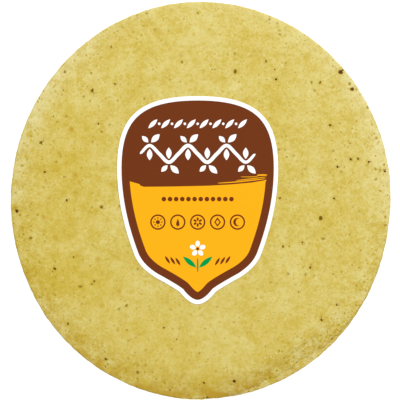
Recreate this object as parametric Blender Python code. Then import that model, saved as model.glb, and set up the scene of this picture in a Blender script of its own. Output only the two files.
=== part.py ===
# A stack of twelve corn tortillas with a paper label lying on the top one, in metres, with +Z up.
# Each tortilla is a soft, slightly oval round of baked corn dough. It gets thinner towards its rim,
# so the rims of the pile droop, the more the higher they lie, and small air gaps open between them.
# The stack rests on Z = 0 with the middle of its box over the origin. The label's tip points to -Y.

import bmesh
import bpy
import numpy as np
from math import radians, tau
from mathutils import Vector
from mathutils.geometry import interpolate_bezier

# The pile
TORTILLAS = 12
STACK_WIDTH = 0.1458
STACK_LENGTH = 0.1525
THICKNESS = 0.0019
GAP = 0.0003

# How a tortilla thins from this share of the way out to its rim, as shares of its thickness.
# The droop is deepest at the front, -Y.
DROOP_START = 0.80
THINNING_ALL_ROUND = 0.10
THINNING_AT_FRONT = 0.07
FRONT = radians(-80)
FRONT_REACH = radians(95)

# The rounding of a rim: how far it reaches in, and the height that is left upright, as shares of
# the tortilla's thickness above and below
RIM_ROUNDING = 0.0012
RIM_SHOULDER = 0.3

# A gentle wave in the pile, which grows from nothing at the surface it rests on: a slight crown
# in the middle, and lobes round the rim, each with its share of the height, its number and its turn
WAVE_HEIGHT = 0.0006
CROWN = 0.3
LOBES = ((0.5, 2, 1.0), (0.3, 3, -0.6))

# How far an air gap opens at the rim, on one side of the stack
LEAST_OPENING = 0.00007
MOST_OPENING = 0.0007

# The top tortilla stops short of the outline at the lower right, deeply at one corner and a little
# along the side, and there the second one comes out to the outline
PEEK = 0.0032
PEEK_SIDE = 0.0009
PEEK_AT = radians(-61)
PEEK_REACH = radians(30)
PEEK_SIDE_AT = radians(-22)
PEEK_SIDE_REACH = radians(38)
SECOND_REACH = radians(90)

# The other tortillas are a little smaller than the outline. The lower ones lie to one side or
# another, at most this far and further the lower they are, and have two to four low lobes.
TRIM = 0.0005
SHIFT_AT_TOP = 0.0004
SHIFT_PER_LEVEL = 0.00012
LEAST_SHARE_OF_SHIFT = 0.5
UNROUNDNESS = 0.0004
FEWEST_LOBES = 2
MOST_LOBES = 4

# The label, and the place of its middle beside the middle of the top tortilla
LABEL_THICKNESS = 0.00025
LABEL_MIDDLE = (-0.0014, 0.0003)

# Mesh density: points round a ring, and the rings as shares of the way out. The rings of two faces
# that lie on each other are the same, so the faces nest.
SEGMENTS = 48
NESTING_RINGS = (0.80, 0.92)
SHOWN_RINGS = (0.30, 0.55, 0.80, 0.86, 0.92)
LABEL_RINGS = (0.5,)

SMOOTH_BELOW = radians(40)
SEED = 12
ANGLES = np.arange(SEGMENTS) * tau / SEGMENTS

# Colours are linear values of the sRGB colours D8C368 and 74391C. A tortilla is at most this much
# darker than its dough's colour.
DOUGH_COLOUR = (0.686, 0.546, 0.138)
LABEL_COLOUR = (0.174, 0.041, 0.012)
DARKEST_SHADE = 0.95
DOUGH_ROUGHNESS = 0.8
PAPER_ROUGHNESS = 0.5


def clear_scene():
    """Remove every object that the file holds."""
    for thing in list(bpy.data.objects):
        bpy.data.objects.remove(thing, do_unlink=True)


def hump(angle, middle, reach):
    """1 in the middle direction, falling softly to 0 at its reach on both sides."""
    away = np.abs((angle - middle + tau / 2) % tau - tau / 2)
    step = np.clip(away / reach, 0.0, 1.0)
    return 1.0 - step * step * (3.0 - 2.0 * step)


def oval(angle):
    """Distance from the stack's middle to its outline."""
    half_width = STACK_WIDTH / 2
    half_length = STACK_LENGTH / 2
    across = half_length * np.cos(angle)
    along = half_width * np.sin(angle)
    return half_width * half_length / np.hypot(across, along)


def droop(share):
    """0 until the droop starts and 1 at the outline, steeper and steeper on the way out."""
    return np.clip((share - DROOP_START) / (1.0 - DROOP_START), 0.0, None) ** 2


def thickness(share, angle):
    """Thickness of a tortilla at a share of the way out, in a direction."""
    at_rim = THINNING_ALL_ROUND + THINNING_AT_FRONT * hump(angle, FRONT, FRONT_REACH)
    return THICKNESS * (1.0 - at_rim * droop(share))


def wave(share, angle):
    """The shape of the pile's wave, whose lobes rise towards the rim."""
    height = CROWN * (1.0 - share**2)
    for part_of_height, number, turn in LOBES:
        height = height + part_of_height * share**number * np.cos(number * angle + turn)
    return height


def draw_openings(draw):
    """One air gap for each pair of neighbours: the side that it opens on, and how much."""
    sides = draw.uniform(0.0, tau, TORTILLAS - 1)
    amounts = draw.uniform(LEAST_OPENING, MOST_OPENING, TORTILLAS - 1)
    return list(zip(sides, amounts))


def opening(gap, share, angle):
    """How much wider one air gap is than the plain gap."""
    side, amount = gap
    return amount * np.clip(np.cos(angle - side), 0.0, 1.0) ** 2 * droop(share)


def underside(index, openings, share, angle):
    """Height of the underside of a tortilla, counted from the lowest one."""
    flat_pile = index * (thickness(share, angle) + GAP)
    lifted = sum(opening(gap, share, angle) for gap in openings[:index])
    return flat_pile + lifted + WAVE_HEIGHT * index / TORTILLAS * wave(share, angle)


def upper_side(index, openings, share, angle):
    """Height of the upper side of a tortilla."""
    wave_growth = WAVE_HEIGHT / TORTILLAS * wave(share, angle)
    return underside(index, openings, share, angle) + thickness(share, angle) + wave_growth


def outline(index, draw):
    """Radius of a tortilla in each direction, from the stack's middle."""
    from_top = TORTILLAS - 1 - index
    if from_top == 0:
        corner = PEEK * hump(ANGLES, PEEK_AT, PEEK_REACH)
        side = PEEK_SIDE * hump(ANGLES, PEEK_SIDE_AT, PEEK_SIDE_REACH)
        return oval(ANGLES) - np.maximum(corner, side)
    if from_top == 1:
        return oval(ANGLES) - TRIM * (1.0 - hump(ANGLES, PEEK_AT, SECOND_REACH))
    furthest = SHIFT_AT_TOP + SHIFT_PER_LEVEL * from_top
    shift = furthest * draw.uniform(LEAST_SHARE_OF_SHIFT, 1.0)
    moved = shift * np.cos(ANGLES - draw.uniform(0.0, tau))
    lobes = draw.integers(FEWEST_LOBES, MOST_LOBES + 1)
    uneven = UNROUNDNESS * np.cos(lobes * ANGLES - draw.uniform(0.0, tau))
    return oval(ANGLES) - TRIM + moved + uneven


def ring(radius, height):
    """The points of one ring round the stack's middle."""
    return np.column_stack((radius * np.cos(ANGLES), radius * np.sin(ANGLES), height))


def tortilla_rings(index, openings, radius):
    """Rings from the middle of the upper side, over the rim, to the middle of the underside."""
    reach = oval(ANGLES)
    shown = SHOWN_RINGS if index == TORTILLAS - 1 else NESTING_RINGS
    rings = [ring(share * reach, upper_side(index, openings, share, ANGLES)) for share in shown]
    for radius_here, shoulder in ((radius - RIM_ROUNDING, 0.0), (radius, RIM_SHOULDER)):
        share = radius_here / reach
        drop = shoulder * thickness(share, ANGLES)
        rings.append(ring(radius_here, upper_side(index, openings, share, ANGLES) - drop))
    for radius_here, shoulder in ((radius, RIM_SHOULDER), (radius - RIM_ROUNDING, 0.0)):
        share = radius_here / reach
        rise = shoulder * thickness(share, ANGLES)
        rings.append(ring(radius_here, underside(index, openings, share, ANGLES) + rise))
    for share in reversed(NESTING_RINGS):
        rings.append(ring(share * reach, underside(index, openings, share, ANGLES)))
    return rings


def skin(name, rings):
    """A closed mesh over rings in order, its two ends closed by a fan."""
    mesh = bpy.data.meshes.new(name)
    work = bmesh.new()
    loops = [[work.verts.new(point) for point in points] for points in rings]
    for first, second in zip(loops, loops[1:]):
        for here in range(len(first)):
            after = (here + 1) % len(first)
            work.faces.new((first[here], first[after], second[after], second[here]))
    ends = [work.faces.new(loops[0]), work.faces.new(loops[-1])]
    bmesh.ops.poke(work, faces=ends)
    bmesh.ops.recalc_face_normals(work, faces=work.faces)
    work.to_mesh(mesh)
    work.free()
    mesh.shade_smooth()
    mesh.set_sharp_from_angle(angle=SMOOTH_BELOW)
    return mesh


def half_label():
    """The right half of the label's outline, from the middle of its top edge to its tip.

    Across and down from the top edge, in millimetres: a broad, squarish head, sides that taper
    to rounded shoulders, and a short neck that draws in to a round tip. Each row is one curve:
    its two ends, the two handles between them, and the points to take from it.
    """
    curves = (
        ((0.0, 0.0), (23.7, 0.0), (31.0, 7.9), (31.0, 27.5), 8),
        ((31.0, 27.5), (31.0, 38.5), (28.5, 49.2), (24.4, 60.2), 5),
        ((24.4, 60.2), (23.1, 63.8), (20.5, 66.7), (16.2, 69.4), 5),
        ((16.2, 69.4), (13.3, 71.0), (7.3, 74.5), (6.2, 75.7), 4),
        ((6.2, 75.7), (4.6, 77.5), (2.6, 79.6), (0.0, 79.6), 5),
    )
    points = []
    for start, handle, next_handle, end, count in curves:
        corners = [Vector(corner) for corner in (start, handle, next_handle, end)]
        points += interpolate_bezier(*corners, count)[:-1]
    points.append(Vector(curves[-1][3]))
    return np.array([(across, down) for across, down in points]) / 1000.0


def label_outline():
    """The whole outline beside the label's own middle, with its tip to -Y."""
    right = half_label()
    left = right[-2:0:-1] * (-1.0, 1.0)
    whole = np.vstack((right, left))
    whole[:, 1] = whole[:, 1].max() / 2 - whole[:, 1]
    return whole


def label_face(edge, height_above, openings):
    """Rings of one face of the label, its edge first, lying over the top tortilla."""
    rings = []
    for share in (1.0,) + LABEL_RINGS:
        across = edge[:, 0] * share + LABEL_MIDDLE[0]
        along = edge[:, 1] * share + LABEL_MIDDLE[1]
        angle = np.arctan2(along, across)
        way_out = np.hypot(across, along) / oval(angle)
        height = upper_side(TORTILLAS - 1, openings, way_out, angle) + height_above
        rings.append(np.column_stack((across, along, height)))
    return rings


def plain_material(name, colour, roughness):
    """A Principled material of one colour."""
    material = bpy.data.materials.new(name)
    material.use_nodes = True
    surface = material.node_tree.nodes["Principled BSDF"]
    surface.inputs["Base Color"].default_value = (*colour, 1.0)
    surface.inputs["Roughness"].default_value = roughness
    surface.inputs["Metallic"].default_value = 0.0
    return material


def place(name, mesh, material, parent):
    """Put a mesh in the scene as one named piece."""
    mesh.materials.append(material)
    piece = bpy.data.objects.new(name, mesh)
    bpy.context.scene.collection.objects.link(piece)
    piece.parent = parent
    return piece


def make_tortillas(draw, openings, parent):
    """The tortillas, from the lowest to the top one."""
    pieces = []
    for index in range(TORTILLAS):
        name = f"tortilla_{index + 1:02d}"
        mesh = skin(name, tortilla_rings(index, openings, outline(index, draw)))
        shade = draw.uniform(DARKEST_SHADE, 1.0)
        colour = [channel * shade for channel in DOUGH_COLOUR]
        dough = plain_material(f"{name}_dough", colour, DOUGH_ROUGHNESS)
        pieces.append(place(name, mesh, dough, parent))
    return pieces


def make_label(openings, parent):
    """The paper label, a sheet that follows the top tortilla."""
    edge = label_outline()
    upper = label_face(edge, GAP + LABEL_THICKNESS, openings)
    lower = label_face(edge, GAP, openings)
    mesh = skin("label", upper[::-1] + lower)
    paper = plain_material("label_paper", LABEL_COLOUR, PAPER_ROUGHNESS)
    return place("label", mesh, paper, parent)


def middle_over_origin(pieces, parent):
    """Move the whole stack so that the middle of its box is over the origin."""
    corners = np.array([vertex.co[:2] for piece in pieces for vertex in piece.data.vertices])
    middle = (corners.min(axis=0) + corners.max(axis=0)) / 2
    parent.location = (-middle[0], -middle[1], 0.0)


def main():
    clear_scene()
    draw = np.random.default_rng(SEED)
    openings = draw_openings(draw)
    stack = bpy.data.objects.new("stack", None)
    bpy.context.scene.collection.objects.link(stack)
    pieces = make_tortillas(draw, openings, stack)
    pieces.append(make_label(openings, stack))
    middle_over_origin(pieces, stack)


main()
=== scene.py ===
# %% [markdown]
# # A stack of corn tortillas
#
# Twelve soft yellow tortillas lie in a pile, with a shield-shaped paper label on the top one, seen
# straight from above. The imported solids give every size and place. Here each plain solid gets the
# surface of the real thing: baked corn dough with husk flecks, a crumbly rim, and printed paper.

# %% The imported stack
from math import cos, pi, radians, sin, tau

import bmesh
import bpy
import numpy as np
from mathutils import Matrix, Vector
from mathutils.bvhtree import BVHTree
from mathutils.geometry import interpolate_bezier


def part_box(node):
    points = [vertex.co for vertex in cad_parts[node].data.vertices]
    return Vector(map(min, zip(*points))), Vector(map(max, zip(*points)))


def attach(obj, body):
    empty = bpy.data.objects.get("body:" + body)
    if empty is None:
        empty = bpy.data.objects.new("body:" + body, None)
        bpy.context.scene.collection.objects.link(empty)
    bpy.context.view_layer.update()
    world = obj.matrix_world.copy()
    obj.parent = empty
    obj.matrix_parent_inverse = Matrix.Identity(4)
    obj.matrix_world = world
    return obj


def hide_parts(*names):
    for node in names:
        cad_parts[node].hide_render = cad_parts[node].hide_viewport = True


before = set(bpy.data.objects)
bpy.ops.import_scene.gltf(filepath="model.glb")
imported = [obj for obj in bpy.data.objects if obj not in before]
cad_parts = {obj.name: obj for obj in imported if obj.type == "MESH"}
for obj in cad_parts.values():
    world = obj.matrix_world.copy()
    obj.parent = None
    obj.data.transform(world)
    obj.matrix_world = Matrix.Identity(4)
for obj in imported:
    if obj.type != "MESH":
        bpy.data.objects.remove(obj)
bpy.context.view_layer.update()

MM = 0.001
TORTILLAS = sorted(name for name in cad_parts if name.startswith("tortilla_"))
TOP = TORTILLAS[-1]
top_low, top_high = (Vector(corner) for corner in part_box(TOP))
STACK_HEIGHT = top_high.z
HALF_WIDTH = (top_high.x - top_low.x) / 2
HALF_LENGTH = (top_high.y - top_low.y) / 2
print(f"{len(TORTILLAS)} tortillas, {STACK_HEIGHT / MM:.1f} mm high")

# %% [markdown]
# ## Camera, floor and light
#
# The photo looks straight down, and the round nearly fills it. A long lens, far away, keeps the
# sides of the pile out of sight as a product photo does. The frame is a little wider than the
# round is long, and its middle is moved half a millimetre, as in the photo.

# %% Camera
CAMERA_HEIGHT = 0.9
PHOTO_PIXELS = 400
LENGTH_PIXELS = 397.2
FRAME_WIDTH = PHOTO_PIXELS / LENGTH_PIXELS * 2 * HALF_LENGTH
FRAME_MIDDLE = (-0.5 * MM, 0.5 * MM)
SENSOR = 36.0
RIM_HEIGHT = top_low.z + 1.5 * MM

lens = SENSOR * (CAMERA_HEIGHT - RIM_HEIGHT) / FRAME_WIDTH
bpy.ops.object.camera_add(location=(*FRAME_MIDDLE, CAMERA_HEIGHT), rotation=(0, 0, 0))
camera = bpy.context.object
camera.data.sensor_width = SENSOR
camera.data.lens = lens
bpy.context.scene.camera = camera
print(f"lens {lens:.0f} mm, {CAMERA_HEIGHT} m above the floor")

# %% [markdown]
# The photo's ground is pure white and without a shadow, like a light table. So the floor is a pale
# sheet that glows as brightly as it would be lit, and it lies a hair below the pile, because two
# faces in one plane would flicker. The light is one broad window, high up and a little beyond the
# label's head, on its right: it makes the far rim light and leaves the near rim on the left, which
# slopes away from it, in soft shade. An even white sky fills the rest.

# %% Floor and light
FLOOR_SIZE = 4.0
FLOOR_GAP = 0.05 * MM
FLOOR_GLOW = 0.97
SKY_STRENGTH = 0.44
WINDOW_POWER = 15.25
WINDOW_PLACE = Vector((0.20, 0.46, 1.3))
WINDOW_SIZE = (1.1, 0.9)


def linear(colour):
    """The linear value of an sRGB hex colour such as D9C569."""
    channels = [int(colour[at:at + 2], 16) / 255 for at in (0, 2, 4)]
    return tuple(c / 12.92 if c <= 0.04045 else ((c + 0.055) / 1.055) ** 2.4 for c in channels)


def add_node(tree, kind, inputs=None, output=0, **settings):
    """Add one node, set or link its inputs, and give one of its outputs."""
    made = tree.nodes.new("ShaderNode" + kind)
    for name, value in settings.items():
        setattr(made, name, value)
    for socket, value in (inputs or {}).items():
        if isinstance(value, bpy.types.NodeSocket):
            tree.links.new(value, made.inputs[socket])
        else:
            made.inputs[socket].default_value = value
    return made.outputs[output]


def new_material(name):
    """An empty node material and its output node."""
    material = bpy.data.materials.new(name)
    material.use_nodes = True
    material.node_tree.nodes.clear()
    output = material.node_tree.nodes.new("ShaderNodeOutputMaterial")
    return material, material.node_tree, output


def only(piece):
    """Select one object and make it the active one."""
    bpy.ops.object.select_all(action="DESELECT")
    piece.select_set(True)
    bpy.context.view_layer.objects.active = piece


def floor_paper():
    """The matt white sheet of a light table."""
    material, tree, output = new_material("backdrop_paper")
    sheet = add_node(tree, "BsdfPrincipled", {
        "Base Color": (*linear("7C7C7B"), 1), "Roughness": 0.9,
        "Emission Color": (1, 1, 1, 1), "Emission Strength": FLOOR_GLOW,
    })
    tree.links.new(sheet, output.inputs["Surface"])
    return material


bpy.ops.object.select_all(action="DESELECT")
bpy.ops.mesh.primitive_plane_add(size=FLOOR_SIZE, location=(0, 0, -FLOOR_GAP))
floor = bpy.context.object
floor.name = "floor"
floor.data.materials.append(floor_paper())

bpy.ops.object.light_add(type="AREA", location=WINDOW_PLACE)
window = bpy.context.object
window.name = "window"
window.data.shape = "RECTANGLE"
window.data.size, window.data.size_y = WINDOW_SIZE
window.data.energy = WINDOW_POWER
window.rotation_euler = WINDOW_PLACE.to_track_quat("Z", "Y").to_euler()

world = bpy.data.worlds.new("sky")
world.use_nodes = True
world.node_tree.nodes["Background"].inputs["Color"].default_value = (1, 1, 1, 1)
world.node_tree.nodes["Background"].inputs["Strength"].default_value = SKY_STRENGTH
bpy.context.scene.world = world
bpy.context.scene.view_settings.view_transform = "Standard"
print("floor, window and sky")

# %% [markdown]
# ## Baked corn dough
#
# The dough is ground corn, pressed and baked on a hot plate. It is matt and a little see-through,
# pale yellow where it is thick and golden where it touched the plate. Four layers of noise, from
# patches to grain, are added up and read through one ramp of dough colours, so dark spots turn more
# golden and light ones creamier. On top come the ground corn's own bits: golden blotches, pale
# grits, ochre specks and larger brown ones, each layer made of cells of which only some hold a
# bit. The rim is coarser than the middle, floury and pale on one side and crusty and golden on the
# other. On the top tortilla that pale side is also a painted highlight towards the window, and the
# crusty side painted shade away from it; its whole lower left side is a little darker and more
# golden, which is partly painted shade too. One part is baked more than the rest, with one spot of
# painted shade on the rim beyond the label's tip, and the dough is stained round husk flecks and
# where the plate scorched it. The mesh says where these are, by its attributes for coarseness,
# flour and painted highlight, crust and painted shade, baking, and stain.

# %% Dough material
PATCH = 20 * MM
MOTTLE = 5.0 * MM
CRUMB = 1.5 * MM
GRAIN = 0.7 * MM
# The golden side, lower left and away from the window: golden dough, and painted shade there too
GOLDEN_AND_PAINTED_SHADE_SIDE = (-0.8, -0.45, 0.0)

# Layers of noise: size of their clouds, detail, roughness, and how much they change the tone
LAYERS = (
    (PATCH, 2, 0.5, 0.42),
    (MOTTLE, 2, 0.55, 0.54),
    (CRUMB, 2, 0.6, 0.61),
    (GRAIN, 2, 0.7, 0.74),
)

# Dough colours from the most golden to the palest
DOUGH_TONES = (
    (0.0, "A98A20"), (0.22, "C3A93E"), (0.40, "CFB959"),
    (0.55, "D6C46F"), (0.72, "DBCC80"), (1.0, "E1D496"),
)

# How far the golden side and baking move the tone on that ramp. The golden side is also painted
# shade away from the window, and one baked spot is painted shade too
TONE_BY_PAINTED_SHADE_SIDE = -0.03
TONE_BY_BAKING_AND_PAINTED_SHADE = -0.10

# The golden wash: how much there is plainly, and how patches, baking and the side change it. The
# side, and one baked spot, add painted shade away from the window
WASH = "CDB339"
WASH_PLAIN = 0.36
WASH_BY_PATCH = -0.7
WASH_BY_BAKING_AND_PAINTED_SHADE = 0.30
WASH_BY_PAINTED_SHADE_SIDE = 0.08

# Flour, crust and stain, and how the mottle breaks up the crust: its effect and the plain amount.
# On the top's rim the flour is also a painted highlight towards the window, and the crust is
# also painted shade away from it
FLOUR_AND_PAINTED_LIGHT_TINT = "E6DFAC"
CRUST_AND_PAINTED_SHADE_TINT = "BF9A2F"
STAIN = "BA9414"
CRUST_BY_MOTTLE = (-2.4, 1.7)

# Bits of corn: spacing of their cells, share of the cells that are empty, least and most radius as
# shares of the spacing, palest and deepest colour, and strength
BITS = (
    (7.0 * MM, 0.35, 0.14, 0.40, "CDB548", "C4A830", 0.55),
    (2.3 * MM, 0.35, 0.14, 0.40, "D0B742", "C8AC28", 0.75),
    (2.1 * MM, 0.30, 0.14, 0.30, "E2D898", "ECE4B0", 0.40),
    (1.5 * MM, 0.24, 0.14, 0.38, "CDB03A", "A6880E", 0.86),
    (3.4 * MM, 0.40, 0.10, 0.26, "C0A42E", "886808", 0.90),
)

# How the mottle gathers the bits in clumps, how far the grain bends their outlines, and how full
# their colour is in the middle: over 1, so that only their edge is soft
CLUMP_BY_MOTTLE = (3.0, -0.6)
OUTLINE_BEND = 0.9 * MM
BIT_FULLNESS = 1.7

# The bits that leave a pit in the dough, by their place in the list, and how the grain and the pits
# add to the relief of the crumb
PITTED = 3
GRAIN_RELIEF = 0.6
PIT_RELIEF = -0.5
RELIEF_DEPTH = 0.2 * MM


def corn_dough():
    """Baked corn dough: a ramp of yellows over added layers of noise, with bits of corn."""
    material, tree, output = new_material("baked_corn_dough")
    place = add_node(tree, "TexCoord", output="Object")
    coarse, flour_and_painted_light, crust_and_painted_shade, baked_and_painted_shade, stain = (add_node(tree, "Attribute", output="Fac", attribute_name=name)
                                          for name in ("coarse", "flour_and_painted_light", "crust_and_painted_shade", "baked_and_painted_shade", "stain"))

    # How far on the golden side, which is also painted shade away from the window: from -1 on the
    # far rim to 1 on the near one
    turned = add_node(tree, "VectorMath", {0: place, 1: GOLDEN_AND_PAINTED_SHADE_SIDE}, "Value", operation="DOT_PRODUCT")
    golden_painted_shade = add_node(tree, "Math", {0: turned, 1: 1 / HALF_LENGTH}, operation="MULTIPLY")

    tone = add_node(tree, "Math", {0: golden_painted_shade, 1: TONE_BY_PAINTED_SHADE_SIDE, 2: 0.5}, operation="MULTIPLY_ADD")
    tone = add_node(tree, "Math", {0: baked_and_painted_shade, 1: TONE_BY_BAKING_AND_PAINTED_SHADE, 2: tone}, operation="MULTIPLY_ADD")
    noises = []
    for size, detail, roughness, amount in LAYERS:
        noise = add_node(tree, "TexNoise", {"Vector": place, "Scale": 1 / size, "Detail": detail,
                                            "Roughness": roughness}, "Fac")
        swing = add_node(tree, "Math", {0: noise, 1: 0.5}, operation="SUBTRACT")
        if size < PATCH:
            swing = add_node(tree, "Math", {0: swing, 1: coarse}, operation="MULTIPLY")
        tone = add_node(tree, "Math", {0: swing, 1: amount, 2: tone}, operation="MULTIPLY_ADD")
        noises.append(noise)
    patch, mottle, crumb, grain = noises

    colour = add_node(tree, "ValToRGB", {"Fac": tone}, "Color")
    ramp = colour.node.color_ramp
    ramp.elements[1].position = DOUGH_TONES[1][0]
    for position, _ in DOUGH_TONES[2:]:
        ramp.elements.new(position)
    for stop, (_, tint) in zip(ramp.elements, DOUGH_TONES):
        stop.color = (*linear(tint), 1)

    # A golden wash over whole patches, more of it on the golden side and where it is baked more; on
    # the golden side, and at one baked spot, it is partly painted shade
    wash = add_node(tree, "Math", {0: patch, 1: WASH_BY_PATCH, 2: WASH_PLAIN}, operation="MULTIPLY_ADD")
    wash = add_node(tree, "Math", {0: baked_and_painted_shade, 1: WASH_BY_BAKING_AND_PAINTED_SHADE, 2: wash}, operation="MULTIPLY_ADD")
    wash = add_node(tree, "Math", {0: golden_painted_shade, 1: WASH_BY_PAINTED_SHADE_SIDE, 2: wash},
                    operation="MULTIPLY_ADD", use_clamp=True)
    colour = add_node(tree, "Mix", {0: wash, 6: colour, 7: (*linear(WASH), 1)}, 2, data_type="RGBA")

    # Flour lies where the mottle is pale, crust where it is golden, and stains lie over both. On the
    # top's rim, flour and crust are also painted highlight and painted shade
    crusty = add_node(tree, "Math", {0: mottle, 1: CRUST_BY_MOTTLE[0], 2: CRUST_BY_MOTTLE[1]},
                      operation="MULTIPLY_ADD", use_clamp=True)
    for amount, unevenness, tint in ((flour_and_painted_light, mottle, FLOUR_AND_PAINTED_LIGHT_TINT), (crust_and_painted_shade, crusty, CRUST_AND_PAINTED_SHADE_TINT)):
        coat = add_node(tree, "Math", {0: amount, 1: unevenness}, operation="MULTIPLY", use_clamp=True)
        colour = add_node(tree, "Mix", {0: coat, 6: colour, 7: (*linear(tint), 1)}, 2, data_type="RGBA")
    colour = add_node(tree, "Mix", {0: stain, 6: colour, 7: (*linear(STAIN), 1)}, 2, data_type="RGBA")

    # The bits lie in clumps, and the grain bends their outlines
    bend = add_node(tree, "TexNoise", {"Vector": place, "Scale": 1 / GRAIN, "Detail": 1}, "Color")
    bent = add_node(tree, "VectorMath", {0: bend, 1: (OUTLINE_BEND,) * 3, 2: place},
                    operation="MULTIPLY_ADD")
    clump = add_node(tree, "Math", {0: mottle, 1: CLUMP_BY_MOTTLE[0], 2: CLUMP_BY_MOTTLE[1]},
                     operation="MULTIPLY_ADD", use_clamp=True)
    clump = add_node(tree, "Math", {0: clump, 1: coarse}, operation="MULTIPLY")
    marks = []
    for spacing, empty, least, most, palest, deepest, strength in BITS:
        distance = add_node(tree, "TexVoronoi", {"Vector": bent, "Scale": 1 / spacing}, "Distance")
        chance = add_node(tree, "SeparateColor", {0: distance.node.outputs["Color"]}, "Red")
        fullness = chance.node.outputs["Green"]
        size = add_node(tree, "MapRange", {
            "Value": chance, "From Min": empty, "To Min": least, "To Max": most,
        })
        bit = add_node(tree, "MapRange", {
            "Value": distance, "From Min": size, "From Max": 0.0, "To Max": BIT_FULLNESS,
        })
        filled = add_node(tree, "Math", {0: chance, 1: empty}, operation="GREATER_THAN")
        tint = add_node(tree, "Mix", {0: fullness, 6: (*linear(palest), 1), 7: (*linear(deepest), 1)},
                        2, data_type="RGBA")
        full = add_node(tree, "Math", {0: filled, 1: strength}, operation="MULTIPLY")
        full = add_node(tree, "Math", {0: full, 1: clump}, operation="MULTIPLY")
        mark = add_node(tree, "Math", {0: bit, 1: 1.0}, operation="MINIMUM")
        mark = add_node(tree, "Math", {0: mark, 1: full}, operation="MULTIPLY", use_clamp=True)
        colour = add_node(tree, "Mix", {0: mark, 6: colour, 7: tint}, 2, data_type="RGBA")
        marks.append(mark)

    height = add_node(tree, "Math", {0: grain, 1: GRAIN_RELIEF, 2: crumb}, operation="MULTIPLY_ADD")
    height = add_node(tree, "Math", {0: marks[PITTED], 1: PIT_RELIEF, 2: height},
                      operation="MULTIPLY_ADD")
    bump = add_node(tree, "Bump", {"Height": height, "Strength": 0.3, "Distance": RELIEF_DEPTH})
    surface = add_node(tree, "BsdfPrincipled", {
        "Base Color": colour, "Normal": bump, "Roughness": 0.75, "IOR": 1.45, "Specular IOR Level": 0.15,
        "Subsurface Weight": 0.15, "Subsurface Radius": (1.0, 0.6, 0.2), "Subsurface Scale": 0.7 * MM,
    })
    tree.links.new(surface, output.inputs["Surface"])
    return material


DOUGH = corn_dough()
print("dough:", len(DOUGH.node_tree.nodes), "nodes")

# %% [markdown]
# ## The tortillas
#
# A tortilla is a ball of dough pressed flat, so its rim is rounded and a little torn. Each one
# could be sculpted, but they lie on each other so closely that every sheet has to follow the one
# below. So a plain disc is made first, and then laid into the pile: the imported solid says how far
# its outline reaches in each direction, and how high its two faces lie at each place.

# %% Reading a solid's shape
DIRECTIONS = 96
STEPS_OUT = 41
LAST_STEP = 0.975
OUTLINE_WINDOW = radians(3.9)
EDGE_TOLERANCE = 0.1 * MM


def read_outline(corners):
    """The outline's points in order of direction, from a solid's corners: direction and radius."""
    direction = np.arctan2(corners[:, 1], corners[:, 0])
    radius = np.hypot(corners[:, 0], corners[:, 1])
    on_edge = []
    for here in range(len(corners)):
        away = np.abs((direction - direction[here] + pi) % tau - pi)
        if radius[here] > radius[away < OUTLINE_WINDOW].max() - EDGE_TOLERANCE:
            on_edge.append(here)
    order = np.argsort(direction[on_edge])
    return direction[on_edge][order], radius[on_edge][order]


def soften(grid, reach, wraps):
    """Even out a grid along its first axis, by a bell of this reach in steps."""
    wide = 3 * reach
    steps = np.arange(-wide, wide + 1)
    bell = np.exp(-0.5 * (steps / reach) ** 2)
    bell /= bell.sum()
    if wraps:
        padded = np.concatenate((grid[-wide:], grid, grid[:wide]))
    else:
        before = 2 * grid[0] - grid[wide:0:-1]
        after = 2 * grid[-1] - grid[-2:-wide - 2:-1]
        padded = np.concatenate((before, grid, after))
    return sum(share * padded[at:at + len(grid)] for at, share in enumerate(bell))


def read_shape(name):
    """A solid's outline and the heights of its two faces, softened where its facets meet."""
    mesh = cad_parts[name].data
    corners = np.array([vertex.co for vertex in mesh.vertices])
    tree = BVHTree.FromPolygons(corners.tolist(), [tuple(face.vertices) for face in mesh.polygons])
    edge_direction, edge_radius = read_outline(corners)
    directions = np.arange(DIRECTIONS) * tau / DIRECTIONS
    reach = np.interp(directions, edge_direction, edge_radius, period=tau)
    shares = np.linspace(0.0, LAST_STEP, STEPS_OUT)
    faces = {}
    for face, start, way in (("upper", 1.0, -1.0), ("lower", -1.0, 1.0)):
        heights = np.empty((STEPS_OUT, DIRECTIONS))
        for row, share in enumerate(shares):
            for column, direction in enumerate(directions):
                out = share * reach[column]
                origin = (out * cos(direction), out * sin(direction), start)
                heights[row, column] = tree.ray_cast(origin, (0, 0, way))[0].z
        heights = soften(soften(heights, 1, wraps=False).T, 2, wraps=True).T
        faces[face] = heights
    return {"direction": edge_direction, "radius": edge_radius, **faces}


def height_at(heights, direction, share):
    """Height of a face at directions and shares of the way out, between the grid's points."""
    along = share / LAST_STEP * (STEPS_OUT - 1)
    row = np.clip(np.floor(along).astype(int), 0, STEPS_OUT - 2)
    across = direction / tau % 1.0 * DIRECTIONS
    column = np.floor(across).astype(int) % DIRECTIONS
    after = (column + 1) % DIRECTIONS
    down = along - row
    side = across - np.floor(across)
    near = heights[row, column] * (1 - side) + heights[row, after] * side
    far = heights[row + 1, column] * (1 - side) + heights[row + 1, after] * side
    return near * (1 - down) + far * down


SHAPES = {name: read_shape(name) for name in TORTILLAS}
print("read", len(SHAPES), "solids")

# %% [markdown]
# The disc itself starts as a cylinder. Its two sharp edges are bevelled round, and its ends are
# inset ring after ring, which leaves a web of small, even faces that can take the dough's relief.
# The rings are closer where the surface shows, and wide under the label and inside the pile.

# %% Rolling a disc
DISC_RADIUS = 75 * MM
DISC_THICKNESS = 1.9 * MM
RIM_ROUNDING = 0.85 * MM
RIM_STEPS = 5

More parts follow.
